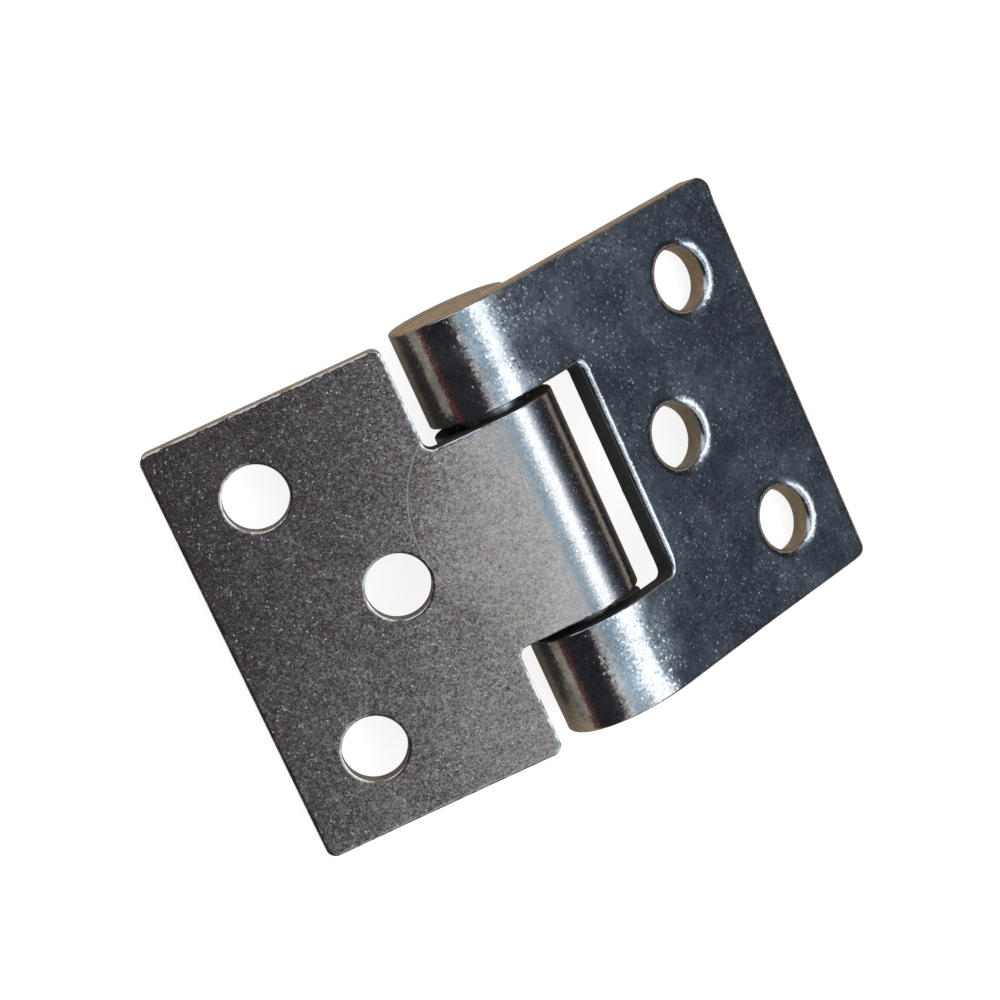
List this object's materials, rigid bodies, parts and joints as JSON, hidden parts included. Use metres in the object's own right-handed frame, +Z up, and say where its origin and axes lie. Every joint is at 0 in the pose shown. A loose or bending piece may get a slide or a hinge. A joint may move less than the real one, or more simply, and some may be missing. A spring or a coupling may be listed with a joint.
{
  "type": "armchair hinge",
  "caption": "Thick zinc-plated steel hinge with rolled knuckles on a plain pin and a triangle of screw holes in each leaf, for the folding or tilting joint of an armchair.",
  "frame": {"origin": "on the surface it lies on, straight under the middle of the pin", "axes": "+Y along the pin, +Z up, +X from the pin towards the leaf with the outer knuckles"},
  "size_m": [0.0909, 0.06, 0.0171],
  "materials": {
    "centre_leaf_zinc": "satin zinc plate, finely grained",
    "outer_leaf_zinc": "satin zinc plate, softly mottled",
    "pin_steel": "smooth drawn steel, zinc plated"
  },
  "bodies": {
    "outer_leaf": {"outer_knuckle_leaf": "outer_leaf_zinc", "hinge_pin": "pin_steel"},
    "centre_leaf": {"centre_knuckle_leaf": "centre_leaf_zinc"}
  },
  "joints": [
    {"name": "leaf_fold", "type": "hinge", "parent": "outer_leaf", "child": "centre_leaf", "pos_m": [0, 0, 0.00855], "axis": [0, 1, 0], "range_deg": [-145.1, 132.8]}
  ]
}
